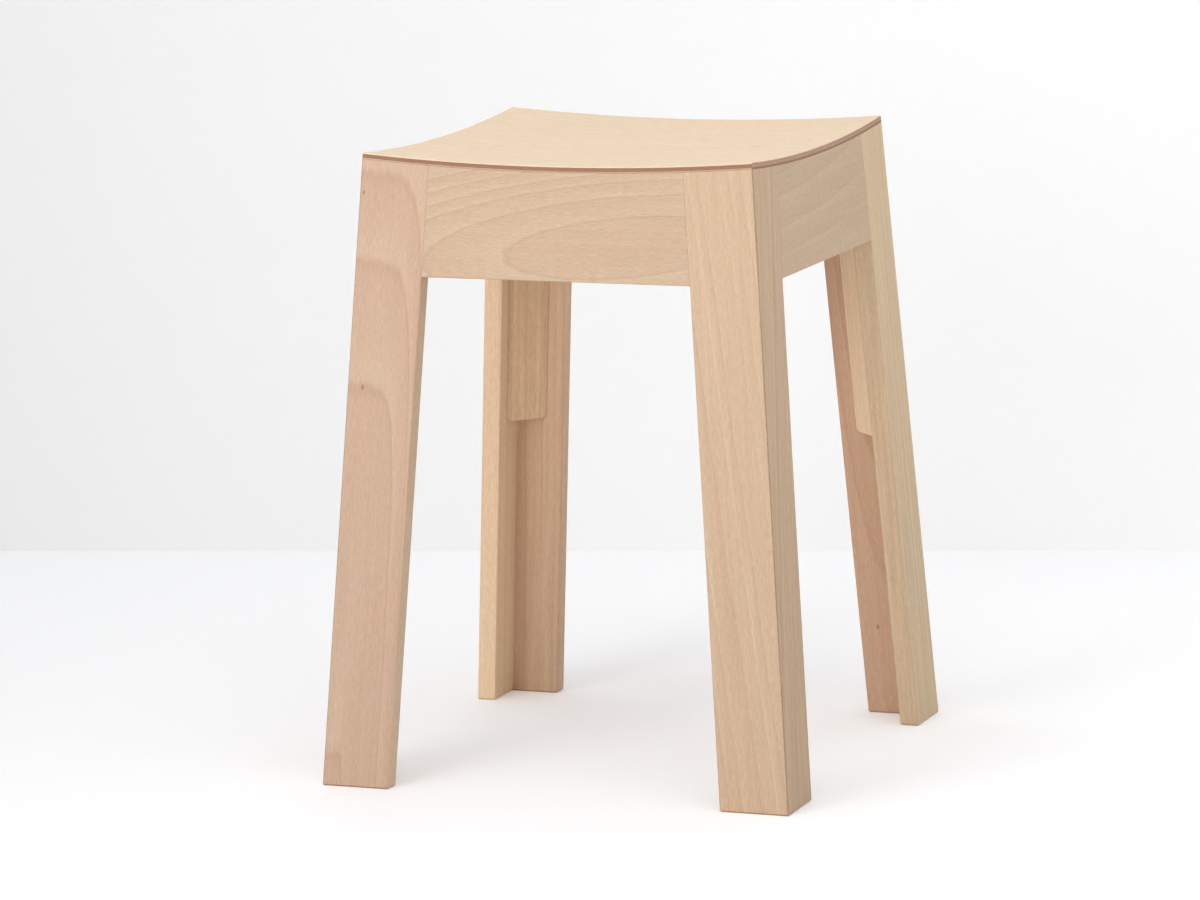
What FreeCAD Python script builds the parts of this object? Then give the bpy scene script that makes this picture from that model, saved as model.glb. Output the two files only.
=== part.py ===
import FreeCAD, Part
import math
import os

from FreeCAD import Vector

# A four-legged wooden stool whose frame narrows upwards on all sides, so that one stool
# lowers over another. X runs along the front, Y towards the back and Z up. The origin is on
# the floor under the middle of the seat. Sizes are in millimetres, and a width or a thickness
# is measured level, as a level saw cut through the stool would show it.

# The seat
seat_width = 289.0
seat_height = 450.0
seat_dip = 6.0
face_ply = 1.1
core_ply = 2.4
back_ply = 1.1
seat_edge_radius = 0.6

# The legs, each of two boards mitred together along the outer corner
board_thickness = 14.2
leg_board_width = 50.6
corner_radius = 1.2
board_edge_radius = 0.9
foot_chamfer = 1.2

# The aprons, between the legs under the seat
apron_drop = 86.3
apron_edge_radius = 0.9

# The stacking blocks, glued into the inner corners of the legs
stack_pitch = 235.0
stack_side_gap = 1.72
block_width = 23.5
block_blunt_edge = 1.6
block_end_radius = 4.0
block_end_chamfer = 0.7

# The loose tenons that join the aprons to the legs, with wood left above and below them
tenon_thickness = 5.0
tenon_length = 40.0
tenon_shoulder = 16.0
tenon_side_gap = 0.1
tenon_end_gap = 1.0

# One stool is lowered over another until its blocks rest on the seat below, one pitch down.
# Over that pitch the sides splay by the thickness of a leg board and the gap beside it.
splay = (board_thickness + stack_side_gap) / stack_pitch
seat_thickness = face_ply + core_ply + back_ply
apron_bottom = seat_height - apron_drop
block_bottom = seat_height - stack_pitch
base_width = seat_width + 2 * splay * seat_height
half_seat = seat_width / 2

# The seat is dished like the inside of a ball. Each of its edges is a flat slice of that ball,
# an arc whose middle lies seat_dip below its ends.
edge_arc_radius = (half_seat ** 2 + seat_dip ** 2) / (2 * seat_dip)
dish_radius = math.hypot(edge_arc_radius, half_seat)
dish_centre = seat_height + edge_arc_radius - seat_dip

# Blanks run this far above the seat's raised corners before they are cut to the seat's form
blank_top = seat_height + board_thickness

POINT_TOLERANCE = 0.001
X_AXIS = Vector(1, 0, 0)
Z_AXIS = Vector(0, 0, 1)
ORIGIN = Vector(0, 0, 0)

# Leg positions as the signs of X and Y
CORNERS = {
    "front_left": (-1, -1),
    "front_right": (1, -1),
    "back_right": (1, 1),
    "back_left": (-1, 1),
}

# Sides of the stool as quarter turns from the front
SIDES = {"front": 0, "right": 1, "back": 2, "left": 3}


def half_width(height):
    """Distance from the middle to the outer face of each side at this height."""
    return half_seat + splay * (seat_height - height)


def dish_height(depth, x, y):
    """Height of the dished sheet this far below the seat's top, over one point of the plan."""
    return dish_centre - math.sqrt((dish_radius + depth) ** 2 - x ** 2 - y ** 2)


def dish_ball(depth):
    """Ball whose underside is the dished sheet that lies this far below the seat's top.

    Its poles are level, so that none of them lies in the seat.
    """
    return Part.makeSphere(dish_radius + depth, Vector(0, 0, dish_centre), X_AXIS)


def polygon(points):
    """Flat face with these corners."""
    return Part.Face(Part.makePolygon(list(points) + [points[0]]))


def corner_point(corner, inset_x, inset_y, height):
    """Point in a leg, set in from the stool's outer corner at this height."""
    side_x, side_y = corner
    reach = half_width(height)
    return Vector(side_x * (reach - inset_x), side_y * (reach - inset_y), height)


def corner_prism(corner, insets, bottom, top):
    """Prism that leans inwards with the stool's corner, from its level section."""
    section = polygon([corner_point(corner, x, y, bottom) for x, y in insets])
    lean = corner_point(corner, 0, 0, top) - corner_point(corner, 0, 0, bottom)
    return section.extrude(lean)


def touches(edge, point):
    """Whether one end of the edge is at this point."""
    return any(vertex.Point.isEqual(point, POINT_TOLERANCE) for vertex in edge.Vertexes)


def is_level(edge, height):
    """Whether the whole edge lies at this height."""
    box = edge.BoundBox
    return max(abs(box.ZMin - height), abs(box.ZMax - height)) < POINT_TOLERANCE


def rising_edges(shape, corner, insets, top):
    """The leaning edges of a corner prism that end at these points of its upper section."""
    edges = []
    for x, y in insets:
        head = corner_point(corner, x, y, top)
        edges += [edge for edge in shape.Edges if touches(edge, head) and not is_level(edge, top)]
    return edges


def outer_form():
    """The stool's outline as one tapering block, its four leaning corners rounded."""
    sections = []
    for height in (0, blank_top):
        points = [corner_point(corner, 0, 0, height) for corner in CORNERS.values()]
        sections.append(Part.makePolygon(points + [points[0]]))
    block = Part.makeLoft(sections, True, True)
    hips = []
    for corner in CORNERS.values():
        hips += rising_edges(block, corner, [(0, 0)], blank_top)
    return block.makeFillet(corner_radius, hips)


def seat_plies(outline):
    """The three moulded veneers of the seat, from the top down, flush with the stool's sides."""
    plies = {}
    depth = 0
    for name, thickness in (("face", face_ply), ("core", core_ply), ("back", back_ply)):
        upper_side = dish_ball(depth)
        depth += thickness
        plies[f"seat_{name}_ply"] = outline.common(dish_ball(depth)).cut(upper_side)
    plies["seat_face_ply"] = ease_seat_edge(plies["seat_face_ply"])
    return plies


def ease_seat_edge(ply):
    """Round the edge that runs round the upper of the ply's two broad faces."""
    broad_faces = sorted(ply.Faces, key=lambda face: face.Area)[-2:]
    top_face = max(broad_faces, key=lambda face: face.CenterOfMass.z)
    return ply.makeFillet(seat_edge_radius, top_face.Edges)


def front_joint_bar(side, thickness, length, shoulder):
    """Level bar with round edges, across a joint of the front apron with a leg board.

    side is -1 at the left joint and 1 at the right. The bar lies in the middle of both boards,
    leans with them and stops the shoulder short of the apron's lower edge and of the seat.
    """
    joint_top = dish_height(seat_thickness, half_seat - leg_board_width, half_seat)
    radius = thickness / 2
    levels = (apron_bottom + shoulder + radius, joint_top - shoulder - radius)
    start_x = side * (half_width(sum(levels) / 2) - leg_board_width) - length / 2
    low, high = [Vector(start_x, board_thickness / 2 - half_width(z), z) for z in levels]
    up = (high - low).normalize() * radius
    out = up.cross(X_AXIS)
    outline = [
        Part.LineSegment(low + out, high + out),
        Part.Arc(high + out, high + up, high - out),
        Part.LineSegment(high - out, low - out),
        Part.Arc(low - out, low - up, low + out),
    ]
    wire = Part.Wire([curve.toShape() for curve in outline])
    return Part.Face(wire).extrude(X_AXIS * length)


def front_tenons():
    """The two loose tenons of the front apron."""
    bars = [front_joint_bar(side, tenon_thickness, tenon_length, tenon_shoulder) for side in (-1, 1)]
    return Part.makeCompound(bars)


def front_mortises():
    """The slots for the front tenons, with room for glue round them and at their ends."""
    width = tenon_thickness + 2 * tenon_side_gap
    length = tenon_length + 2 * tenon_end_gap
    shoulder = tenon_shoulder - tenon_side_gap
    return [front_joint_bar(side, width, length, shoulder) for side in (-1, 1)]


def front_apron():
    """Front apron: a board between the leg boards, its ends cut to the lean of the legs."""
    outline = []
    for side, height in ((-1, apron_bottom), (1, apron_bottom), (1, blank_top), (-1, blank_top)):
        reach = half_width(height)
        outline.append(Vector(side * (reach - leg_board_width), -reach, height))
    board = polygon(outline).extrude(Vector(0, board_thickness, 0))
    lower_edges = [
        edge for edge in board.Edges
        if is_level(edge, apron_bottom) and edge.Length > board_thickness + POINT_TOLERANCE
    ]
    return board.makeFillet(apron_edge_radius, lower_edges)


def turned(shape, quarter_turns):
    """Copy of a shape made for the front, turned about the stool's middle to another side."""
    copy = shape.copy()
    copy.rotate(ORIGIN, Z_AXIS, 90 * quarter_turns)
    return copy


def leg(corner):
    """One leg as a glued angle, before its mitre is cut apart.

    Below the aprons the ends of both boards are rounded and the foot is bevelled. Beside the
    aprons the ends stay square, to butt against them.
    """
    t = board_thickness
    w = leg_board_width
    section = [(0, 0), (w, 0), (w, t), (t, t), (t, w), (0, w)]
    board_ends = [(w, 0), (w, t), (t, w), (0, w)]
    lower = corner_prism(corner, section, 0, apron_bottom)
    lower = lower.makeChamfer(foot_chamfer, [edge for edge in lower.Edges if is_level(edge, 0)])
    end_edges = rising_edges(lower, corner, board_ends, apron_bottom)
    lower = lower.makeFillet(board_edge_radius, end_edges)
    upper = corner_prism(corner, section, apron_bottom, blank_top)
    return lower.fuse(upper).removeSplitter()


def mitre_wedge(corner, along_x, along_y):
    """Upright wedge between the mitre of a leg and one of the stool's two middle planes.

    along_x and along_y are 1 and 0 for the board on the left or right side of the stool, and
    0 and 1 for the board on its front or back.
    """
    side_x, side_y = corner
    corner_end = Vector(side_x * base_width, side_y * base_width, 0)
    side_end = Vector(along_x * corner_end.x, along_y * corner_end.y, 0)
    return polygon([ORIGIN, corner_end, side_end]).extrude(Z_AXIS * blank_top)


def stacking_block(corner):
    """Three-sided block in a leg's inner corner, whose lower end rests on the stool below."""
    t = board_thickness
    w = t + block_width
    b = t + block_blunt_edge
    section = [(t, t), (w, t), (w, b), (b, w), (t, w)]
    block = corner_prism(corner, section, block_bottom, blank_top)
    lower_edges = [edge for edge in block.Edges if is_level(edge, block_bottom)]
    blunt_edges = [edge for edge in lower_edges if abs(edge.Length - block_blunt_edge) < POINT_TOLERANCE]
    block = block.makeFillet(block_end_radius, blunt_edges)
    lower_edges = [edge for edge in block.Edges if is_level(edge, block_bottom)]
    slanting_edge = min(lower_edges, key=distance_along_axes)
    return block.makeChamfer(block_end_chamfer, [slanting_edge])


def distance_along_axes(edge):
    """How far the edge's middle is from the stool's, along X and then along Y.

    It is the same all along a line that runs at 45 degrees across a corner.
    """
    return abs(edge.CenterOfMass.x) + abs(edge.CenterOfMass.y)


def build():
    """All sub-parts of the stool by name."""
    outline = outer_form()
    above_frame = dish_ball(seat_thickness)
    pieces = seat_plies(outline)

    front_board = front_apron().cut(front_mortises()).cut(above_frame)
    all_mortises = []
    for side, turns in SIDES.items():
        pieces[f"{side}_apron"] = turned(front_board, turns)
        pieces[f"{side}_apron_tenons"] = turned(front_tenons(), turns)
        all_mortises += [turned(mortise, turns) for mortise in front_mortises()]

    for name, corner in CORNERS.items():
        angle = leg(corner).common(outline).cut(above_frame).cut(all_mortises)
        end = name.split("_")[0]
        pieces[f"{name}_leg_{end}_board"] = angle.common(mitre_wedge(corner, 0, 1))
        pieces[f"{name}_leg_side_board"] = angle.common(mitre_wedge(corner, 1, 0))
        pieces[f"{name}_stacking_block"] = stacking_block(corner).cut(above_frame)
    return pieces


def main():
    """Write each sub-part to its own file and print its volume."""
    os.makedirs("parts", exist_ok=True)
    for name, shape in build().items():
        solids = shape.Solids
        piece = solids[0] if len(solids) == 1 else Part.makeCompound(solids)
        piece.exportStep(f"parts/{name}.step")
        print(f"{name}: {len(solids)} solid(s), {shape.Volume / 1000:.1f} cm3, valid {shape.isValid()}")
    print(f"base {base_width:.1f} wide, stacking blocks from {block_bottom:.1f} up")


main()
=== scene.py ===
"""A stacking stool in pale beech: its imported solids, dressed board by board, in a plain studio.

X runs along the front, Y towards the back and Z up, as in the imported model. Blender's own
lengths are in metres. The boards and their wood are in millimetres, because rings and pores are.
"""

import logging
import math
from dataclasses import dataclass, field
from enum import Enum

import bpy
from mathutils import Matrix, Vector

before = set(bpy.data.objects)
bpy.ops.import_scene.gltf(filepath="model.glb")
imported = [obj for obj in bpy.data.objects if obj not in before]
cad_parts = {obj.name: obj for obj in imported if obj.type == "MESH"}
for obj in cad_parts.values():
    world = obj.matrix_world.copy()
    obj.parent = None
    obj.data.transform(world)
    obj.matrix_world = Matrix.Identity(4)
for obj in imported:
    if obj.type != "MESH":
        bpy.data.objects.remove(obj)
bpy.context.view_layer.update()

log = logging.getLogger("stool")

MILLIMETRE = 0.001
FULL_LEVEL = 255
QUARTER_TURN = math.radians(90)
X_AXIS = Vector((1, 0, 0))
Y_AXIS = Vector((0, 1, 0))
Z_AXIS = Vector((0, 0, 1))

Colour = tuple[float, float, float]
Limits = tuple[float, float]
Stops = tuple[tuple[float, float], ...]

# The usual curve from a colour as it is seen to its light: straight up to its start, then a power.
CURVE_START = 0.04045
CURVE_SLOPE = 12.92
CURVE_OFFSET = 0.055
CURVE_POWER = 2.4

# A seam is at full strength over this share of its reach.
CORE_SHARE = 1 / 3

# Noise and the shades of a year swing round this value.
MIDDLE_SHARE = 0.5

# Sockets of the Mix node for its two colours and their mixture.
MIX_FIRST = 6
MIX_SECOND = 7
MIX_RESULT = 2


class Side(Enum):
    """Sides of the stool, as quarter turns from its front, anticlockwise from above."""

    FRONT = 0
    RIGHT = 1
    BACK = 2
    LEFT = 3


class End(Enum):
    """Ends of a side of the stool, as seen from outside that side."""

    LEFT = -1
    RIGHT = 1


class Corner(Enum):
    """Corners of the stool."""

    FRONT_LEFT = "front_left"
    FRONT_RIGHT = "front_right"
    BACK_RIGHT = "back_right"
    BACK_LEFT = "back_left"


def linear(colour: Colour) -> Colour:
    """Turn a colour as it is seen into the light it stands for.

    Args:
        colour: red, green and blue from 0 to 255.

    Returns:
        The same colour in linear light, from 0 to 1.
    """
    levels = [value / FULL_LEVEL for value in colour]
    return tuple(
        level / CURVE_SLOPE if level <= CURVE_START
        else ((level + CURVE_OFFSET) / (1 + CURVE_OFFSET)) ** CURVE_POWER
        for level in levels
    )


def tinted(colour: Colour, tint: Colour) -> Colour:
    """Multiply two colours in linear light."""
    return tuple(value * share for value, share in zip(colour, tint))


class Signal:
    """Something that varies over a surface: one output socket of a node, with arithmetic."""

    def __init__(self, bench: "Bench", socket: bpy.types.NodeSocket) -> None:
        """Wrap a socket of the bench's node tree."""
        self.bench = bench
        self.socket = socket

    @property
    def many(self) -> bool:
        """Whether the signal is a colour or a vector rather than a number."""
        return self.socket.type in ("VECTOR", "RGBA")

    def _maths(self, operation: str, *operands: object) -> "Signal":
        """Add the Math or Vector Math node for an operation on these operands, in turn."""
        kind = "ShaderNodeVectorMath" if self.many else "ShaderNodeMath"
        return self.bench.node(kind, {"operation": operation}, dict(enumerate(operands)))

    def __add__(self, other: object) -> "Signal":
        """Self plus other."""
        return self._maths("ADD", self, other)

    def __radd__(self, other: object) -> "Signal":
        """Other plus self."""
        return self._maths("ADD", other, self)

    def __sub__(self, other: object) -> "Signal":
        """Self minus other."""
        return self._maths("SUBTRACT", self, other)

    def __rsub__(self, other: object) -> "Signal":
        """Other minus self."""
        return self._maths("SUBTRACT", other, self)

    def __mul__(self, other: object) -> "Signal":
        """Self times other, where a single number scales a whole colour or vector.

        Args:
            other: number, signal, colour or vector.

        Returns:
            The product.
        """
        one_number = isinstance(other, (int, float)) or (isinstance(other, Signal) and not other.many)
        if self.many and one_number:
            settings = {"operation": "SCALE"}
            return self.bench.node("ShaderNodeVectorMath", settings, {0: self, "Scale": other})
        return self._maths("MULTIPLY", self, other)

    def __rmul__(self, other: object) -> "Signal":
        """Other times self."""
        return self * other

    def __truediv__(self, other: object) -> "Signal":
        """Self divided by other."""
        return self._maths("DIVIDE", self, other)

    def __pow__(self, other: object) -> "Signal":
        """Self to the power of other."""
        return self._maths("POWER", self, other)

    def __abs__(self) -> "Signal":
        """Self without its sign."""
        return self._maths("ABSOLUTE", self)

    def sine(self) -> "Signal":
        """Sine of self, in radians."""
        return self._maths("SINE", self)

    def whole(self) -> "Signal":
        """Self rounded down."""
        return self._maths("FLOOR", self)

    def part(self) -> "Signal":
        """What rounding down takes off self."""
        return self._maths("FRACT", self)

    def angle(self, other: object) -> "Signal":
        """Angle of the point that is self up and other along."""
        return self._maths("ARCTAN2", self, other)

    def least(self, other: object) -> "Signal":
        """The lower of self and other."""
        return self._maths("MINIMUM", self, other)

    def most(self, other: object) -> "Signal":
        """The higher of self and other."""
        return self._maths("MAXIMUM", self, other)

    def along(self, direction: Vector) -> "Signal":
        """How far the vector reaches in a direction."""
        inputs = {0: self, 1: tuple(direction)}
        return self.bench.node("ShaderNodeVectorMath", {"operation": "DOT_PRODUCT"}, inputs, "Value")

    def length(self) -> "Signal":
        """Length of the vector."""
        return self.bench.node("ShaderNodeVectorMath", {"operation": "LENGTH"}, {0: self}, "Value")

    def ease(self, low: float, high: float) -> "Signal":
        """Rise smoothly from 0 where self is low to 1 where it is high, or the other way round.

        Args:
            low: value of self that gives 0.
            high: value of self that gives 1, above or below low.

        Returns:
            The eased share, from 0 to 1.
        """
        bottom, top = min(low, high), max(low, high)
        inputs = {"Value": self, "From Min": bottom, "From Max": top}
        risen = self.bench.node("ShaderNodeMapRange", {"interpolation_type": "SMOOTHSTEP"}, inputs)
        return risen if low < high else 1 - risen

    def near(self, value: float, reach: float) -> "Signal":
        """1 where self is close to a value, falling to 0 at a reach from it."""
        return abs(self - value).ease(reach, reach * CORE_SHARE)


class Bench:
    """One node tree, and the single way in which nodes are added to it."""

    def __init__(self, tree: bpy.types.NodeTree) -> None:
        """Clear a node tree to work in."""
        self.tree = tree
        tree.nodes.clear()

    def node(self, kind: str, settings: dict[str, object], inputs: dict[int | str, object],
             output: int | str = 0) -> Signal:
        """Add a node of a kind, with its settings and inputs, and return one of its outputs."""
        return Signal(self, self._add(kind, settings, inputs).outputs[output])

    def finish(self, kind: str, surface: Signal) -> None:
        """Add the node of a kind that ends the tree, and lead the surface to it."""
        self._add(kind, {}, {"Surface": surface})

    def _add(self, kind: str, settings: dict[str, object],
             inputs: dict[int | str, object]) -> bpy.types.Node:
        """Add a node, with its settings and what goes into its sockets.

        Args:
            kind: the node's type.
            settings: its properties by name, and under "stops" a ramp's places and grey levels.
            inputs: values or signals for its sockets, by name or number.

        Returns:
            The new node.
        """
        made = self.tree.nodes.new(kind)
        for name, value in settings.items():
            if name == "stops":
                self._set_stops(made.color_ramp, value)
            else:
                setattr(made, name, value)
        for key, value in inputs.items():
            if isinstance(value, Signal):
                self.tree.links.new(value.socket, made.inputs[key])
            else:
                self._set_value(made.inputs[key], value)
        return made

    @staticmethod
    def _set_value(socket: bpy.types.NodeSocket, value: object) -> None:
        """Write a plain value on a socket, with full alpha where it is a colour."""
        socket.default_value = (*value, 1) if socket.type == "RGBA" else value

    @staticmethod
    def _set_stops(ramp: bpy.types.ColorRamp, stops: Stops) -> None:
        """Give a ramp its places and grey levels.

        Args:
            ramp: the ramp, as Blender makes it.
            stops: each place from 0 to 1, with its grey level.
        """
        for _ in range(len(stops) - len(ramp.elements)):
            ramp.elements.new(1)
        for element, (place, level) in zip(ramp.elements, stops):
            element.position = place
            element.color = (level, level, level, 1)

    def mix(self, share: object, first: object, second: object) -> Signal:
        """Mix two colours, the first at a share of 0, the second at 1, and on in the same way beyond."""
        inputs = {0: share, MIX_FIRST: first, MIX_SECOND: second}
        return self.node("ShaderNodeMix", {"data_type": "RGBA", "clamp_factor": False}, inputs, MIX_RESULT)

    def noise(self, place: Signal, detail: float = 2, roughness: float = 0.5) -> Signal:
        """Cloudy noise over a place, centred on 0."""
        inputs = {"Vector": place, "Scale": 1, "Detail": detail, "Roughness": roughness}
        return self.node("ShaderNodeTexNoise", {"noise_dimensions": "3D"}, inputs) - MIDDLE_SHARE

    def chance(self, number: Signal) -> Signal:
        """A fixed but scattered value from 0 to 1 for each whole number."""
        return self.node("ShaderNodeTexWhiteNoise", {"noise_dimensions": "1D"}, {"W": number})

    def ramp(self, value: Signal, stops: Stops) -> Signal:
        """Read a value off a ramp of grey levels."""
        grey = self.node("ShaderNodeValToRGB", {"stops": stops}, {"Fac": value})
        return self.node("ShaderNodeRGBToBW", {}, {"Color": grey})


@dataclass(frozen=True)
class Axes:
    """A board's own directions: across its face, into the wood and along the grain, in mm."""

    origin: Vector
    across: Vector
    inwards: Vector
    along: Vector

    def turned(self, side: Side) -> "Axes":
        """The same board on another side of the stool."""
        turn = Matrix.Rotation(QUARTER_TURN * side.value, 3, "Z")
        return Axes(turn @ self.origin, turn @ self.across, turn @ self.inwards, turn @ self.along)


@dataclass(frozen=True)
class Knot:
    """A pin knot in a board, placed in mm across the board and along it."""

    across: float
    along: float
    radius: float = 0.9


@dataclass(frozen=True)
class Growth:
    """How a board was cut from the tree, and how its wood grew, in mm.

    Attributes:
        heart_across: where the heart of the tree lay, across the board.
        heart_depth: the same, into the board.
        drift_across: how far that moves across for each mm along the board.
        drift_depth: how far it moves into the board for each mm along it.
        heart_along: where along the board its rings are widest open.
        closing: how fast the rings close away from there, 0 for boards cut from a long trunk.
        ring_width: a usual year's growth.
        phase: share of a year by which the rings are shifted.
        squareness: 2 for round rings, more for rings with flatter sides.
        sway: slow unevenness of the rings, 1 for 9 mm.
        ripple: quick unevenness of the rings.
        uneven: how much the years differ in width, from 0 to 1.
        rings: distances of the rings from the heart, where they are counted one by one.
        band: how much lighter and darker the wood gets within each ring.
        line: how dark the thin line at the end of a year is.
        stripe: strength of the long streaks along the grain.
        blush: strength of the pinker clouds.
        painted_light_rise: painted light, how much lighter the wood is made for each metre along the board,
            towards the top of a leg, standing in for light that falls from above.
        knots: its pin knots.
    """

    heart_across: float
    heart_depth: float
    drift_across: float = 0.0
    drift_depth: float = 0.0
    heart_along: float = 0.0
    closing: float = 0.0
    ring_width: float = 7.0
    phase: float = 0.0
    squareness: float = 2.0
    sway: float = 0.5
    ripple: float = 1.6
    uneven: float = 0.2
    rings: tuple[float, ...] = ()
    band: float = 0.8
    line: float = 0.3
    stripe: float = 0.14
    blush: float = 0.25
    painted_light_rise: float = 0.0
    knots: tuple[Knot, ...] = ()


@dataclass(frozen=True)
class Taper:
    """The stool's outline: a block that narrows upwards on all four sides, in mm."""

    seat_width: float = 289.0
    seat_height: float = 450.0
    board_thickness: float = 14.2
    stacking_gap: float = 1.72
    stacking_pitch: float = 235.0

    @property
    def splay(self) -> float:
        """How far each side moves out for each mm down, so that one stool fits over another."""
        return (self.board_thickness + self.stacking_gap) / self.stacking_pitch

    def reach(self, height: float) -> float:
        """Distance from the middle to each side at a height."""
        return self.seat_width / 2 + self.splay * (self.seat_height - height)


@dataclass(frozen=True)
class Dish:
    """The ball whose underside forms the seat's hollow, in mm."""

    half_width: float = 144.5
    rim_height: float = 450.0
    dip: float = 6.0

    @property
    def edge_radius(self) -> float:
        """Radius of the arc along each edge of the seat."""
        return (self.half_width ** 2 + self.dip ** 2) / (2 * self.dip)

    def depth(self, place: Signal) -> Signal:
        """How far a place lies below the seat's upper side."""
        centre = (0, 0, self.rim_height + self.edge_radius - self.dip)
        return (place - centre).length() - math.hypot(self.edge_radius, self.half_width)


@dataclass(frozen=True)
class Place:
    """A point of a board, in mm, and the way its surface faces."""

    here: Signal
    facing: Signal
    across: Signal
    depth: Signal
    length: Signal
    grain: Signal

    @classmethod
    def on_board(cls, bench: Bench, axes: Axes) -> "Place":
        """Read where a point lies on a board.

        Args:
            bench: the material's node tree.
            axes: the board's directions.

        Returns:
            The point, in the stool's own directions and in the board's.
        """
        here = bench.node("ShaderNodeTexCoord", {}, {}, "Object") * (1 / MILLIMETRE)
        facing = bench.node("ShaderNodeTexCoord", {}, {}, "Normal")
        offset = here - tuple(axes.origin)
        across, depth, length = (offset.along(way) for way in (axes.across, axes.inwards, axes.along))
        grain = bench.node("ShaderNodeCombineXYZ", {}, {0: across, 1: depth, 2: length})
        return cls(here, facing, across, depth, length, grain)


@dataclass(frozen=True)
class Mottle:
    """A layer of noise in the wood, by how fine it is across the grain and along it, for each mm."""

    across: float
    along: float
    detail: float = 2.0
    roughness: float = 0.5

    def over(self, place: Place) -> Signal:
        """The noise over a board, centred on 0."""
        fineness = (self.across, self.across, self.along)
        return place.grain.bench.noise(place.grain * fineness, self.detail, self.roughness)


# The noises of the wood, from its fibres to the slow and quick unevenness of its rings.
FIBRES = Mottle(1.9, 0.16, 3, 0.7)
DASHES = Mottle(1.0, 0.15, 3, 0.65)
STREAKS = Mottle(0.30, 0.010)
CLOUDS = Mottle(0.07, 0.005)
WARMTH = Mottle(0.45, 0.06, 2, 0.6)
PORES = Mottle(7.0, 0.45, 1)
SLOW_WAVE = Mottle(0.030, 0.0075)
QUICK_WAVE = Mottle(0.22, 0.05, 3, 0.65)

# How strongly the clouds and the warmth stand out.
CLOUD_CONTRAST = 2.4
WARMTH_CONTRAST = 2.5

# Values between which each mark of the wood, and the edge faces that take painted light or shade, rise from
# nothing to full strength.
PORE_LIMITS: Limits = (0.12, 0.3)
RAY_LIMITS: Limits = (0.25, 0.08)
CLOUD_LIMITS: Limits = (0.2, 0.9)
WARMTH_LIMITS: Limits = (0.0, 1.0)
YEAR_LIMITS: Limits = (-0.3, 0.9)
END_LIMITS: Limits = (0.6, 0.85)
EDGE_LIMITS: Limits = (0.6, 0.9)
ARRIS_LIMITS: Limits = (0.985, 0.90)

# A usual year: how dark it gets through its share of growth, and the thin line at its end.
YEAR_DARKNESS: Stops = ((0.0, 0.0), (0.10, 0.12), (0.30, 0.48), (0.70, 0.66), (0.94, 1.0), (1.0, 0.0))
YEAR_LINE: Stops = ((0.0, 0.0), (0.82, 0.0), (0.92, 1.0), (0.95, 0.9), (1.0, 0.0))
UNEVEN_PACE = 2.3

# How full the line is, and how much the dashes break it up.
LINE_FILL = 0.75
LINE_BREAKS = 1.5

# A knot is this much longer than wide, and fades between these shares of its radius.
KNOT_STRETCH = 2
KNOT_FADE: Limits = (1.6, 0.4)


@dataclass(frozen=True)
class CountedYears:
    """How shades run round a ring that is counted: places in mm from the ring, levels from 0 to 1.

    Attributes:
        young: place and level just past the ring before.
        grown_share: share of the way to the ring at which the wood has its middle level.
        grown_level: that level.
        ending: places and levels at the ring itself.
        line: the same for the thin line.
        lead: how far inside the first ring the growth before it starts.
        tail: how far past the last ring the ramp goes.
        last: place and level past the last ring.
        inner_level: level inside the first ring.
    """

    young: tuple[float, float] = (1.2, 0.10)
    grown_share: float = 0.35
    grown_level: float = 0.42
    ending: Stops = ((-2.2, 0.78), (-0.2, 1.0), (0.25, 0.0))
    line: Stops = ((-0.9, 0.0), (-0.3, 1.0), (0.0, 0.9), (0.3, 0.0))
    lead: float = 10.0
    tail: float = 12.0
    last: tuple[float, float] = (6.0, 0.45)
    inner_level: float = 0.5


@dataclass(frozen=True)
class Finish:
    """The thin matt finish: its roughness, and what each mark adds to or takes off it and its height.

    Attributes:
        roughness: roughness of the plain wood.
        fibre_roughness: what the fibres add.
        line_roughness: what the line of a year adds.
        arris_polish: what an eased arris takes off.
        end_roughness: what end grain adds.
        fibre_relief: height of the fibres in mm.
        ray_sink: depth of the rays in mm.
        pore_sink: depth of the pores in mm.
        line_sink: depth of the line of a year in mm.
        seam_sink: depth of a glued joint in mm.
        relief_strength: how strongly all of these show in the light.
    """

    roughness: float = 0.55
    fibre_roughness: float = 0.16
    line_roughness: float = 0.08
    arris_polish: float = 0.06
    end_roughness: float = 0.12
    fibre_relief: float = 0.012
    ray_sink: float = 0.008
    pore_sink: float = 0.02
    line_sink: float = 0.006
    seam_sink: float = 0.05
    relief_strength: float = 0.6


@dataclass(frozen=True)
class YearShades:
    """Shades within a year's growth, each from 0 to 1: how dark it is, its line and its strength."""

    darkness: Signal
    line: Signal
    strength: Signal | float


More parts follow.
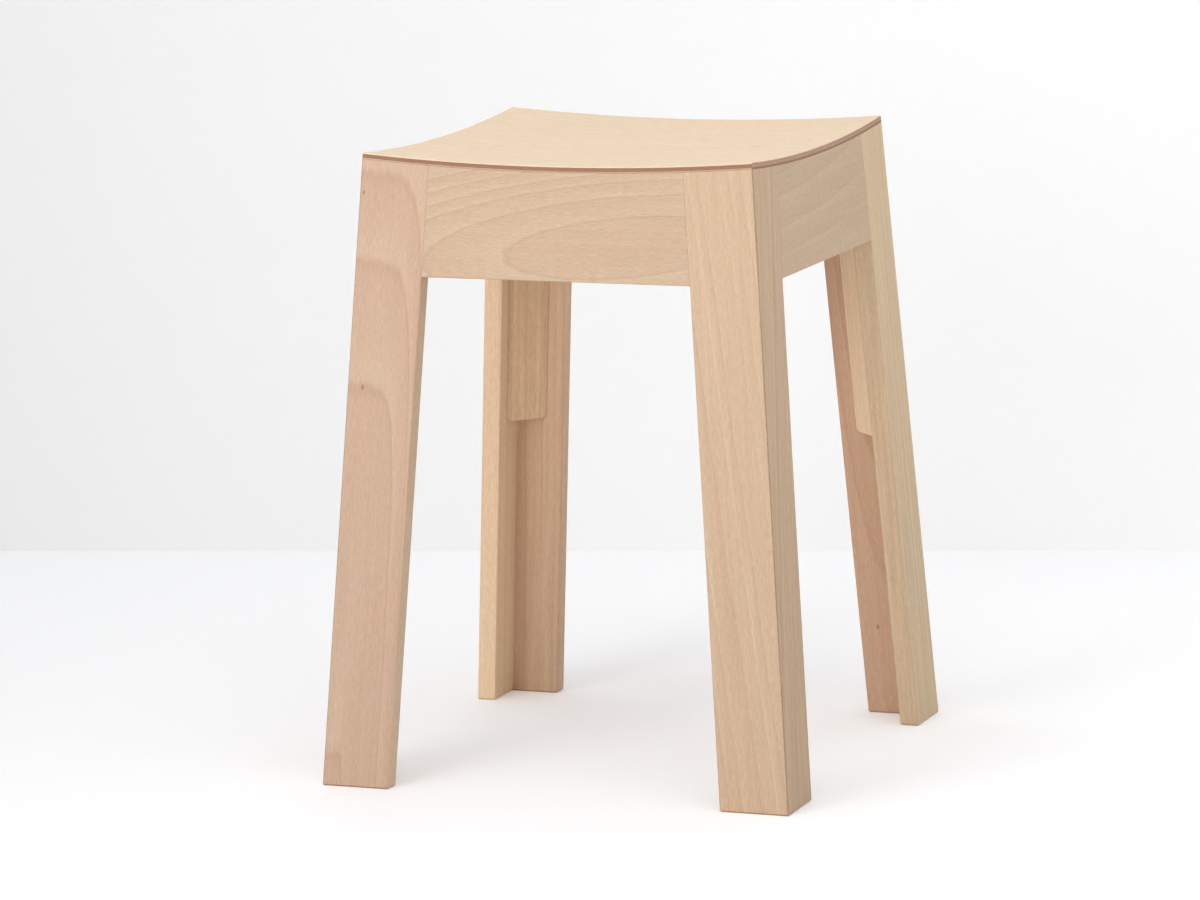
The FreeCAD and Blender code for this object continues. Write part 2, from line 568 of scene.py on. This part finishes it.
@dataclass(frozen=True)
class Beech:
    """Steamed beech with a thin matt finish: rings, fibres, rays, end grain and eased arrises, with painted
    light or shade on its edge faces and along its length.
    """

    ground: Colour
    growth: Growth
    early_tint: Colour = (1.04, 1.085, 1.065)
    late_tint: Colour = (0.965, 0.93, 0.92)
    line_tint: Colour = (0.78, 0.68, 0.62)
    blush_tint: Colour = (0.97, 0.89, 0.88)
    ray_tint: Colour = (0.74, 0.62, 0.54)
    end_tint: Colour = (0.72, 0.58, 0.50)
    # Tint of the board's edge faces: painted light or shade, none by default.
    painted_edge_light: Colour = (1.0, 1.0, 1.0)
    arris_tint: Colour = (0.90, 0.82, 0.76)
    warm_tint: Colour = (1.0, 0.988, 0.972)
    cool_tint: Colour = (1.0, 1.01, 1.024)
    seam_tint: Colour = (0.50, 0.38, 0.30)
    knot_tint: Colour = (0.68, 0.52, 0.45)
    fibre_strength: float = 0.54
    dash_strength: float = 0.33
    ray_strength: float = 0.2
    pore_strength: float = 0.10
    end_pore_strength: float = 0.25
    end_strength: float = 0.75
    arris_strength: float = 0.6
    seam_strength: float = 0.75
    ray_width: float = 0.6
    ray_height: float = 2.2
    ray_reach: float = 11.0
    sway_reach: float = 9.0
    sheen: float = 0.1
    finish: Finish = Finish()
    counted: CountedYears = CountedYears()

    def dress(self, node: str, axes: Axes, seams: "SeamRule") -> None:
        """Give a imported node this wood.

        Args:
            node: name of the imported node.
            axes: the board's directions.
            seams: rule that marks the glued joints in the board's surface.
        """
        material = bpy.data.materials.new(f"{node}_beech")
        material.use_nodes = True
        bench = Bench(material.node_tree)
        place = Place.on_board(bench, axes)
        radius, rays = self._rings(bench, place)
        shades = self._year_shades(bench, radius)
        fibres, pores = FIBRES.over(place), PORES.over(place).ease(*PORE_LIMITS)
        end, arris = self._end(place, axes), self._arris(place, axes)
        seam = seams(place.here)

        colour = self._grown_colour(bench, place, shades, fibres)
        colour = bench.mix(rays * self.ray_strength, colour, self._tint(self.ray_tint))
        holes = pores * (self.pore_strength + self.end_pore_strength * end)
        colour = bench.mix(holes, colour, self._tint(self.ray_tint))
        # Painted light or shade: the board's edge faces take a tint that stands in for how light falls on
        # faces turned that way.
        edge = abs(place.facing.along(axes.across)).ease(*EDGE_LIMITS)
        colour = bench.mix(edge, colour, colour * self.painted_edge_light)
        colour = bench.mix(end * self.end_strength, colour, colour * self.end_tint)
        colour = bench.mix(arris * self.arris_strength, colour, colour * self.arris_tint)
        colour = bench.mix(self._knots(place), colour, self._tint(self.knot_tint))
        colour = bench.mix(seam * self.seam_strength, colour, self._tint(self.seam_tint))

        finish = self.finish
        roughness = finish.roughness + finish.fibre_roughness * fibres + finish.line_roughness * shades.line
        roughness = roughness - finish.arris_polish * arris + finish.end_roughness * end
        height = fibres * finish.fibre_relief - rays * finish.ray_sink - pores * finish.pore_sink
        height = height - shades.line * finish.line_sink - seam * finish.seam_sink
        bump = bench.node("ShaderNodeBump", {}, {
            "Strength": finish.relief_strength, "Distance": MILLIMETRE, "Height": height,
        })
        surface = bench.node("ShaderNodeBsdfPrincipled", {}, {
            "Base Color": colour, "Roughness": roughness, "Normal": bump, "Specular IOR Level": self.sheen,
        })
        bench.finish("ShaderNodeOutputMaterial", surface)
        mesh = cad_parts[node].data
        mesh.materials.clear()
        mesh.materials.append(material)
        log.info("%s: beech, rings %.1f mm wide", node, self.growth.ring_width)

    def _tint(self, tint: Colour) -> Colour:
        """The ground colour in linear light, times a tint."""
        return tinted(linear(self.ground), tint)

    def _grown_colour(self, bench: Bench, place: Place, shades: YearShades, fibres: Signal) -> Signal:
        """Colour of the wood as it grew, before rays, pores and anything done to the board.

        Args:
            bench: the material's node tree.
            place: the point on the board.
            shades: shades of the year's growth there.
            fibres: the fine noise of the fibres there.

        Returns:
            The colour.
        """
        growth = self.growth
        dashes = DASHES.over(place)
        clouds = (MIDDLE_SHARE + CLOUDS.over(place) * CLOUD_CONTRAST).ease(*CLOUD_LIMITS)
        warmth = (MIDDLE_SHARE + WARMTH.over(place) * WARMTH_CONTRAST).ease(*WARMTH_LIMITS)
        shade = MIDDLE_SHARE + (shades.darkness - MIDDLE_SHARE) * (shades.strength * growth.band)
        colour = bench.mix(shade, self._tint(self.early_tint), self._tint(self.late_tint))
        colour = bench.mix(clouds * growth.blush, colour, self._tint(self.blush_tint))
        line = shades.line * shades.strength * (LINE_FILL + dashes * LINE_BREAKS) * growth.line
        colour = bench.mix(line, colour, self._tint(self.line_tint))
        tone = 1 + fibres * self.fibre_strength + dashes * self.dash_strength
        # Painted light: the wood grows lighter along the board, towards the top of a leg, standing in for
        # light that falls from above.
        tone = tone + STREAKS.over(place) * growth.stripe + place.length * (growth.painted_light_rise * MILLIMETRE)
        colour = colour * tone
        return bench.mix(warmth, colour * self.warm_tint, colour * self.cool_tint)

    def _rings(self, bench: Bench, place: Place) -> tuple[Signal, Signal]:
        """Distance from the heart of the tree, and the rays that run out from it.

        Args:
            bench: the material's node tree.
            place: the point on the board.

        Returns:
            The distance in mm, with the tree's unevenness, and where a ray shows, from 0 to 1.
        """
        growth = self.growth
        reach_across = place.across - growth.heart_across - place.length * growth.drift_across
        reach_depth = place.depth - growth.heart_depth - place.length * growth.drift_depth
        reaches = [reach_across, reach_depth]
        if growth.closing:
            reaches.append((place.length - growth.heart_along) * growth.closing)
        power = growth.squareness
        distance = sum(abs(reach) ** power for reach in reaches) ** (1 / power)
        slow, quick = SLOW_WAVE.over(place), QUICK_WAVE.over(place)
        radius = distance + slow * (self.sway_reach * growth.sway) + quick * growth.ripple
        turn = reach_depth.angle(reach_across) * math.hypot(growth.heart_across, growth.heart_depth)
        cells = bench.node("ShaderNodeCombineXYZ", {}, {
            0: turn / self.ray_width, 1: place.length / self.ray_height, 2: distance / self.ray_reach,
        })
        settings = {"voronoi_dimensions": "3D", "feature": "F1"}
        inputs = {"Vector": cells, "Scale": 1}
        gap = bench.node("ShaderNodeTexVoronoi", settings, inputs, "Distance")
        return radius, gap.ease(*RAY_LIMITS)

    def _year_shades(self, bench: Bench, radius: Signal) -> YearShades:
        """Shades of the year's growth at a distance from the heart.

        Args:
            bench: the material's node tree.
            radius: distance from the heart in mm.

        Returns:
            The shades there.
        """
        if self.growth.rings:
            return self._counted_shades(bench, radius)
        even = radius / self.growth.ring_width + self.growth.phase
        years = even + (even * UNEVEN_PACE).sine() * self.growth.uneven
        share = years.part()
        strength = bench.chance(years.whole()).ease(*YEAR_LIMITS)
        return YearShades(bench.ramp(share, YEAR_DARKNESS), bench.ramp(share, YEAR_LINE), strength)

    def _counted_shades(self, bench: Bench, radius: Signal) -> YearShades:
        """Shades of the year's growth where the rings lie at chosen distances from the heart.

        Args:
            bench: the material's node tree.
            radius: distance from the heart in mm.

        Returns:
            The shades there.
        """
        rings, counted = self.growth.rings, self.counted
        low, high = min(0.0, rings[0] - counted.lead), rings[-1] + counted.tail
        (young, young_level), (last, last_level) = counted.young, counted.last
        shades, lines = [(low, counted.inner_level)], [(low, 0.0)]
        for inner, ring in zip((None, *rings), rings):
            if inner is not None:
                grown = inner + (ring - inner) * counted.grown_share
                shades += [(inner + young, young_level), (grown, counted.grown_level)]
            shades += [(ring + gap, level) for gap, level in counted.ending]
            lines += [(ring + gap, level) for gap, level in counted.line]
        shades += [(rings[-1] + young, young_level), (rings[-1] + last, last_level)]
        share = (radius - low) / (high - low)
        darkness, line = (
            bench.ramp(share, tuple(((at - low) / (high - low), level) for at, level in stops))
            for stops in (shades, lines)
        )
        return YearShades(darkness, line, 1.0)

    @staticmethod
    def _end(place: Place, axes: Axes) -> Signal:
        """Where the surface cuts across the grain, from 0 to 1."""
        return abs(place.facing.along(axes.along)).ease(*END_LIMITS)

    @staticmethod
    def _arris(place: Place, axes: Axes) -> Signal:
        """Where the surface faces between the board's own directions, as a rounded edge does.

        Args:
            place: the point on the board.
            axes: the board's directions.

        Returns:
            How far it is an eased arris, from 0 to 1.
        """
        squareness = abs(place.facing.along(axes.across))
        for way in (axes.inwards, axes.along):
            squareness = squareness.most(abs(place.facing.along(way)))
        return squareness.ease(*ARRIS_LIMITS)

    def _knots(self, place: Place) -> Signal | float:
        """Where the board's pin knots show.

        Args:
            place: the point on the board.

        Returns:
            How far a knot shows, from 0 to 1, or the plain number 0 where the board has none.
        """
        shown = 0.0
        for knot in self.growth.knots:
            beside, beyond = place.across - knot.across, (place.length - knot.along) / KNOT_STRETCH
            gap = (abs(beside) ** 2 + abs(beyond) ** 2) ** 0.5
            shown = gap.ease(*(knot.radius * share for share in KNOT_FADE)) + shown
        return shown


class SeamRule:
    """Marks the glued joints in a board's surface. This one marks none."""

    def __call__(self, here: Signal) -> Signal | float:
        """Where the joint shows, from 0 to 1."""
        return 0.0


@dataclass(frozen=True)
class FrameSeams(SeamRule):
    """Joints of a board in the frame: under the seat, at the mitre and at the apron's ends, in mm.

    Attributes:
        taper: the stool's outline.
        dish: the seat's hollow.
        seat_thickness: how far under the seat's upper side the boards start.
        apron_side: the apron's side of the stool, or None for a leg's boards.
        board_width: width of a leg board.
        glue: reach of a glue line.
        mitre: reach of the line at the mitre.
        mitre_strength: how strongly that line shows.
        mitre_raggedness: how far it wanders.
        mitre_fineness: how quickly it wanders, for each mm.
        inner_corner: distance inside the outline at which the line ends.
        outer_corner: distance inside it from which the line is full.
    """

    taper: Taper
    dish: Dish
    seat_thickness: float
    apron_side: Side | None = None
    board_width: float = 50.6
    glue: float = 0.28
    mitre: float = 0.9
    mitre_strength: float = 0.75
    mitre_raggedness: float = 1.6
    mitre_fineness: float = 0.8
    inner_corner: float = 6.0
    outer_corner: float = 3.0

    def __call__(self, here: Signal) -> Signal:
        """Where the joint shows.

        Args:
            here: the point, in the stool's own directions.

        Returns:
            How far a joint shows, from 0 to 1.
        """
        east, north, up = (abs(here.along(way)) for way in (X_AXIS, Y_AXIS, Z_AXIS))
        seam = self.dish.depth(here).near(self.seat_thickness, self.glue)
        if self.apron_side is None:
            ragged = here.bench.noise(here * self.mitre_fineness) * self.mitre_raggedness
            foot = self.taper.reach(0)
            outwards = east.most(north) + up * self.taper.splay
            outermost = outwards.ease(foot - self.inner_corner, foot - self.outer_corner)
            return seam.most((east - north + ragged).near(0, self.mitre) * outermost * self.mitre_strength)
        sideways = east if self.apron_side in (Side.FRONT, Side.BACK) else north
        reach = self.taper.reach(0) - self.board_width - up * self.taper.splay
        return seam.most((sideways - reach).near(0, self.glue))


@dataclass(frozen=True)
class VeneerSeams(SeamRule):
    """Glue lines between the seat's plies."""

    dish: Dish
    depths: tuple[float, ...]
    glue: float = 0.2

    def __call__(self, here: Signal) -> Signal:
        """Where the joint shows.

        Args:
            here: the point, in the stool's own directions.

        Returns:
            How far a glue line shows, from 0 to 1.
        """
        depth = self.dish.depth(here)
        lines = [depth.near(level, self.glue) for level in self.depths]
        return lines[0].most(lines[-1])


@dataclass
class Seat:
    """The dished seat of three moulded veneers, in mm."""

    dish: Dish = field(default_factory=Dish)
    face_ply: float = 1.1
    core_ply: float = 2.4
    back_ply: float = 1.1
    # Partly painted light: the face ply is its own pale veneer made lighter still, standing in for light
    # that falls on the seat's top.
    face_colour_and_light: Colour = (246, 221, 191)
    core_colour: Colour = (200, 162, 139)
    back_colour: Colour = (206, 168, 144)
    end_tint: Colour = (0.54, 0.43, 0.39)
    arris_tint: Colour = (1.0, 0.97, 0.95)
    outer_growth: Growth = Growth(
        heart_across=-60, heart_depth=330, drift_across=0.02, drift_depth=0.01, ring_width=4.5,
        sway=2.6, band=0.3, line=0.1, blush=0.12)
    core_growth: Growth = Growth(
        heart_across=40, heart_depth=260, ring_width=4.0, sway=2.0, band=0.5, line=0.2)

    @property
    def thickness(self) -> float:
        """The three plies together."""
        return self.face_ply + self.core_ply + self.back_ply

    def dress(self) -> None:
        """Give each ply its veneer, the core's grain running from front to back."""
        middle = Vector((0, 0, self.dish.rim_height - self.dish.dip))
        lengthwise = Axes(middle, Y_AXIS, -Z_AXIS, X_AXIS)
        crosswise = Axes(middle, X_AXIS, -Z_AXIS, Y_AXIS)
        seams = VeneerSeams(self.dish, (self.face_ply, self.face_ply + self.core_ply))
        face = Beech(self.face_colour_and_light, self.outer_growth, sheen=0.2, end_tint=self.end_tint,
                     arris_tint=self.arris_tint, fibre_strength=0.34)
        core = Beech(self.core_colour, self.core_growth, end_tint=self.end_tint)
        back = Beech(self.back_colour, self.outer_growth, end_tint=self.end_tint)
        face.dress("seat_face_ply", lengthwise, seams)
        core.dress("seat_core_ply", crosswise, seams)
        back.dress("seat_back_ply", lengthwise, seams)


@dataclass
class FrameSide:
    """One side of the frame: its apron and the tenons in it, in mm."""

    side: Side
    colour: Colour
    growth: Growth
    seams: FrameSeams
    taper: Taper = field(default_factory=Taper)
    apron_bottom: float = 363.7
    tenon_growth: Growth = Growth(heart_across=30, heart_depth=40)

    def dress(self) -> None:
        """Give the apron and its tenons their wood."""
        splay = self.taper.splay
        middle = Vector((0, -self.taper.reach(self.apron_bottom), self.apron_bottom))
        up = Vector((0, splay, 1)).normalized()
        inwards = Vector((0, 1, -splay)).normalized()
        axes = Axes(middle, up, inwards, X_AXIS).turned(self.side)
        name = self.side.name.lower()
        Beech(self.colour, self.growth).dress(f"{name}_apron", axes, self.seams)
        Beech(self.colour, self.tenon_growth).dress(f"{name}_apron_tenons", axes, SeamRule())


@dataclass(frozen=True)
class LegBoard:
    """A board of a leg: the side and the end of the stool where it stands, its wood, and the painted light
    or shade on its edge faces.
    """

    name: str
    side: Side
    end: End
    colour: Colour
    growth: Growth
    # Painted light or shade on the board's edge faces, for how light falls on faces turned that way.
    painted_edge_light: Colour = (1.0, 1.0, 1.0)

    def axes(self, taper: Taper) -> Axes:
        """The board's directions, from the foot of the leg's outer corner.

        Args:
            taper: the stool's outline.

        Returns:
            Across to the right as seen from outside, inwards, and up along the leg.
        """
        foot = taper.reach(0)
        lean = Vector((-self.end.value * taper.splay, taper.splay, 1)).normalized()
        across = (X_AXIS - lean * X_AXIS.dot(lean)).normalized()
        axes = Axes(Vector((self.end.value * foot, -foot, 0)), across, lean.cross(across), lean)
        return axes.turned(self.side)


@dataclass
class Leg:
    """One angle leg: two boards mitred along the outer corner, and its stacking block."""

    corner: Corner
    end_board: LegBoard
    side_board: LegBoard
    block_colour_and_light: Colour
    block_growth: Growth
    seams: FrameSeams
    taper: Taper = field(default_factory=Taper)

    def dress(self) -> None:
        """Give both boards and the block their wood."""
        for board in (self.end_board, self.side_board):
            node = f"{self.corner.value}_leg_{board.name}_board"
            wood = Beech(board.colour, board.growth, painted_edge_light=board.painted_edge_light)
            wood.dress(node, board.axes(self.taper), self.seams)
        block = Beech(self.block_colour_and_light, self.block_growth)
        block.dress(f"{self.corner.value}_stacking_block", self.end_board.axes(self.taper), SeamRule())


def make_frame_sides(seams: dict[str, object]) -> list[FrameSide]:
    """The four sides of the frame.

    Args:
        seams: what the joints in their surface share.

    Returns:
        The sides, anticlockwise from the front.
    """
    woods = {
        Side.FRONT: ((213, 185, 158), Growth(
            heart_across=20, heart_depth=24.5, drift_across=0.1, heart_along=50, closing=0.24,
            rings=(32.4, 43.5, 52.2, 58, 65, 72), sway=0.2, band=0.8, line=0.35)),
        Side.RIGHT: ((219, 192, 163), Growth(
            heart_across=170, heart_depth=39, drift_depth=0.32, rings=(98, 114, 136, 154),
            sway=0.5, band=0.75, line=0.0)),
        Side.BACK: ((222, 194, 167), Growth(
            heart_across=60, heart_depth=52, drift_across=-0.02, drift_depth=0.09, ring_width=8.5,
            phase=0.4)),
        Side.LEFT: ((218, 188, 160), Growth(
            heart_across=30, heart_depth=38, drift_across=0.02, drift_depth=0.08, ring_width=8)),
    }
    return [
        FrameSide(side, colour, growth, FrameSeams(apron_side=side, **seams))
        for side, (colour, growth) in woods.items()
    ]


def make_legs(seams: dict[str, object]) -> list[Leg]:
    """The four legs.

    Args:
        seams: what the joints in their surface share.

    Returns:
        The legs, anticlockwise from the front left.
    """
    # Leg boards that grow lighter towards the top do so by painted light, standing in for light that falls
    # from above.
    rules = FrameSeams(**seams)
    # The leg boards' edge tints are painted light or shade, for how light falls on their edge faces.
    return [
        Leg(
            Corner.FRONT_LEFT,
            LegBoard("front", Side.FRONT, End.LEFT, (205, 174, 151), Growth(
                heart_across=6.5, heart_depth=5.6, drift_across=-0.004, drift_depth=0.10, squareness=6,
                sway=0.10, ripple=0.9, rings=(8, 34.5, 43.3, 49.5), band=0.95, line=0.35, blush=0.35,
                painted_light_rise=0.22, knots=(Knot(11.5, 287, 0.9), Knot(3.0, 424, 0.7))),
                painted_edge_light=(1.13, 1.22, 1.19)),
            LegBoard("side", Side.LEFT, End.RIGHT, (232, 207, 177), Growth(
                heart_across=-120, heart_depth=70, ring_width=6)),
            (205, 172, 142), Growth(heart_across=90, heart_depth=-60, ring_width=5), rules,
        ),
        Leg(
            Corner.FRONT_RIGHT,
            LegBoard("front", Side.FRONT, End.RIGHT, (210, 181, 153), Growth(
                heart_across=-135, heart_depth=100, drift_across=-0.09, ring_width=8.5, sway=0.4,
                ripple=0.8, band=1.4, line=0.0, stripe=0.18, blush=0.4, painted_light_rise=0.22)),
            LegBoard("side", Side.RIGHT, End.LEFT, (204, 176, 147), Growth(
                heart_across=150, heart_depth=90, drift_across=0.10, sway=0.4, ripple=0.6, band=1.9,
                line=0.1, stripe=0.35, blush=0.3, painted_light_rise=0.45)),
            (205, 172, 142), Growth(heart_across=-90, heart_depth=70, ring_width=5), rules,
        ),
        Leg(
            Corner.BACK_RIGHT,
            LegBoard("back", Side.BACK, End.LEFT, (212, 176, 149), Growth(
                heart_across=22, heart_depth=-26, drift_depth=0.085, ring_width=8, squareness=2.2,
                painted_light_rise=0.3, knots=(Knot(36.5, 70, 0.8),))),
            LegBoard("side", Side.RIGHT, End.RIGHT, (219, 194, 161), Growth(
                heart_across=-150, heart_depth=40, ring_width=5.2, sway=0.4, ripple=0.6, band=1.7,
                line=0.1, stripe=0.4, painted_light_rise=0.4), painted_edge_light=(0.92, 0.89, 0.90)),
            # Partly painted light: the back right block is paler wood and is set lighter still, standing in
            # for light on it where it stands in shade.
            (255, 230, 197), Growth(heart_across=60, heart_depth=-40, ring_width=6), rules,
        ),
        Leg(
            Corner.BACK_LEFT,
            LegBoard("back", Side.BACK, End.RIGHT, (210, 178, 150), Growth(
                heart_across=90, heart_depth=70, drift_across=0.01, sway=0.4, ripple=0.7, band=1.4,
                stripe=0.3, painted_light_rise=0.9)),
            # Partly painted light: the back left side board and block are set lighter than their wood,
            # standing in for light that their shaded inner faces lack.
            LegBoard("side", Side.LEFT, End.LEFT, (238, 208, 174), Growth(
                heart_across=-70, heart_depth=90, drift_across=0.02, sway=0.6),
                painted_edge_light=(1.07, 1.06, 1.06)),
            (237, 207, 172), Growth(
                heart_across=100, heart_depth=40, sway=0.4, ripple=0.7, stripe=0.4), rules,
        ),
    ]


@dataclass(frozen=True)
class Lamp:
    """A square soft lamp: where it hangs and how long its sides are, in m, and its power in watts."""

    name: str
    place: tuple[float, float, float]
    size: float
    power: float

    def build(self, aim: tuple[float, float, float]) -> None:
        """Hang the lamp, facing a point.

        Args:
            aim: the point, in m.
        """
        bpy.ops.object.light_add(type="AREA", location=self.place)
        lamp = bpy.context.object
        lamp.name = self.name
        lamp.data.shape = "SQUARE"
        lamp.data.size = self.size
        lamp.data.energy = self.power
        lamp.rotation_mode = "QUATERNION"
        lamp.rotation_quaternion = (Vector(aim) - Vector(self.place)).to_track_quat("-Z", "Y")


@dataclass
class Studio:
    """Pale floor, plain wall, a large soft lamp over the left shoulder and the soft fill, in m.

    Attributes:
        floor_size: length of the floor's sides.
        wall_height: height of the wall.
        wall_width: its width.
        wall_distance: how far behind the stool's middle it stands.
        wall_turn: how far it is turned, in degrees.
        floor_colour: colour of the floor as seen.
        wall_colour: the same for the wall.
        ground_colour: what the camera sees beyond both.
        paint_roughness: roughness of their paint.
        paint_sheen: gloss of their paint, seen straight on.
        lamps: the three lamps.
        lamp_aim: the point that they face.
        sky_strength: strength of the even light from all around.
        floor_lift: white on the floor that only the camera sees, at the origin, and its rise along X
            and along Y for each m.
        wall_lift: the same for the wall.
        lift_limit: the most that it rises to.
        far_lift: the same white far away.
        far_start: distance at which the far white starts to come in.
        far_end: distance at which it is all there.
    """

    floor_size: float = 30.0
    wall_height: float = 6.0
    wall_width: float = 12.0
    wall_distance: float = 0.765
    wall_turn: float = 14.9
    floor_colour: Colour = (247, 248, 250)
    wall_colour: Colour = (244, 244, 244)
    ground_colour: Colour = (244, 244, 244)
    paint_roughness: float = 0.9
    paint_sheen: float = 0.1
    lamps: tuple[Lamp, ...] = (
        Lamp("key_light", (-0.7, -2.1, 0.8), size=1.05, power=12),
        Lamp("overhead_light", (0.15, -0.9, 1.8), size=1.7, power=11),
        Lamp("fill_light", (1.7, -0.6, 0.95), size=1.6, power=2.5),
    )
    lamp_aim: tuple[float, float, float] = (0, 0, 0.25)
    sky_strength: float = 0.52
    floor_lift: tuple[float, float, float] = (0.20, 0.13, 0.05)
    wall_lift: tuple[float, float, float] = (0.205, 0.21, 0.0)
    lift_limit: float = 0.3
    far_lift: float = 0.42
    far_start: float = 1.1
    far_end: float = 4.0

    def build(self) -> None:
        """Set up the floor, the wall, the lamps and the surrounding light."""
        self._floor()
        self._wall()
        for lamp in self.lamps:
            lamp.build(self.lamp_aim)
        self._surroundings()
        log.info("studio: floor, wall, %d lamps and a pale surround", len(self.lamps))

    def _plane(self, name: str, width: float, height: float, place: Matrix, colour: Colour,
               lift: tuple[float, float, float]) -> None:
        """Add a flat sheet to the stage.

        Args:
            name: the object's name.
            width: its size along its own X.
            height: its size along its own Y.
            place: where its middle goes and how it is turned.
            colour: its colour as seen.
            lift: white that only the camera sees at the origin, and its rise along X and along Y.
        """
        bpy.ops.object.select_all(action="DESELECT")
        bpy.ops.mesh.primitive_plane_add(size=1)
        sheet = bpy.context.object
        sheet.name = name
        sheet.data.transform(place @ Matrix.Diagonal((width, height, 1, 1)))
        material = bpy.data.materials.new(f"{name}_paint")
        material.use_nodes = True
        bench = Bench(material.node_tree)
        surface = bench.node("ShaderNodeBsdfPrincipled", {}, {
            "Base Color": linear(colour), "Roughness": self.paint_roughness,
            "Specular IOR Level": self.paint_sheen,
        })
        here = bench.node("ShaderNodeTexCoord", {}, {}, "Object")
        near_share = (lift[0] + here.along(Vector((lift[1], lift[2], 0)))).most(0).least(self.lift_limit)
        far = here.length().ease(self.far_start, self.far_end)
        white = self._shown(bench) * (near_share * (1 - far) + far * self.far_lift)
        light = bench.node("ShaderNodeEmission", {}, {"Color": white, "Strength": 1})
        surface = bench.node("ShaderNodeAddShader", {}, {0: surface, 1: light})
        behind = bench.node("ShaderNodeNewGeometry", {}, {}, "Backfacing")
        clear = bench.node("ShaderNodeBsdfTransparent", {}, {})
        surface = bench.node("ShaderNodeMixShader", {}, {0: behind, 1: surface, 2: clear})
        bench.finish("ShaderNodeOutputMaterial", surface)
        sheet.data.materials.append(material)

    @staticmethod
    def _shown(bench: Bench) -> Signal:
        """Tell what the camera sees, directly, mirrored or through something clear.

        Args:
            bench: the node tree of the material or of the world.

        Returns:
            1 for what it sees, otherwise 0.
        """
        kinds = ("Is Camera Ray", "Is Glossy Ray", "Is Transmission Ray")
        camera, mirrored, through = (bench.node("ShaderNodeLightPath", {}, {}, kind) for kind in kinds)
        return (camera + mirrored + through).least(1)

    def _floor(self) -> None:
        """Lay the floor under the feet."""
        size = self.floor_size
        self._plane("floor", size, size, Matrix.Identity(4), self.floor_colour, self.floor_lift)

    def _wall(self) -> None:
        """Stand the wall behind the stool, square to the picture's lower edge."""
        stand = Matrix.Rotation(QUARTER_TURN, 4, "X")
        shift = Matrix.Translation((0, self.wall_distance, self.wall_height / 2))
        turn = Matrix.Rotation(math.radians(self.wall_turn), 4, "Z")
        self._plane("wall", self.wall_width, self.wall_height, turn @ shift @ stand, self.wall_colour,
                    self.wall_lift)

    def _surroundings(self) -> None:
        """Light everything evenly, and show a plain pale ground beyond the floor."""
        world = bpy.data.worlds.new("surroundings")
        bpy.context.scene.world = world
        world.use_nodes = True
        bench = Bench(world.node_tree)
        shown = self._shown(bench)
        inputs = {"Color": (1, 1, 1), "Strength": self.sky_strength}
        lighting = bench.node("ShaderNodeBackground", {}, inputs)
        ground_colour = linear(self.ground_colour)
        ground = bench.node("ShaderNodeBackground", {}, {"Color": ground_colour, "Strength": 1})
        surface = bench.node("ShaderNodeMixShader", {}, {0: shown, 1: lighting, 2: ground})
        bench.finish("ShaderNodeOutputWorld", surface)


@dataclass
class Viewpoint:
    """The camera: where it stands in m, how it is turned in radians and its lens in mm."""

    place: Vector = field(default_factory=lambda: Vector((1.43956, -3.88304, 0.93189)))
    turn: float = 0.3607
    tilt: float = 0.1701
    roll: float = -0.0189
    lens: float = 174.594
    sensor: float = 36.0

    def build(self) -> None:
        """Add the camera and look through it."""
        bpy.ops.object.camera_add()
        camera = bpy.context.object
        camera.name = "camera"
        camera.data.lens = self.lens
        camera.data.sensor_width = self.sensor
        turned = Matrix.Rotation(self.turn, 4, "Z")
        tilted = Matrix.Rotation(QUARTER_TURN - self.tilt, 4, "X")
        rolled = Matrix.Rotation(self.roll, 4, "Z")
        camera.matrix_world = Matrix.Translation(self.place) @ turned @ tilted @ rolled
        bpy.context.scene.camera = camera
        log.info("camera: %.0f mm lens, %.2f m away", self.lens, self.place.length)


def main() -> None:
    """Set up the camera, dress the stool, build the studio round it and use the Standard view transform."""
    logging.basicConfig(level=logging.INFO, format="%(message)s")
    bpy.ops.object.select_all(action="DESELECT")
    Viewpoint().build()
    seat = Seat()
    seat.dress()
    shared = {"taper": Taper(), "dish": seat.dish, "seat_thickness": seat.thickness}
    for side in make_frame_sides(shared):
        side.dress()
    for leg in make_legs(shared):
        leg.dress()
    Studio().build()
    scene = bpy.context.scene
    scene.view_settings.view_transform = "Standard"


if __name__ == "__main__":
    main()
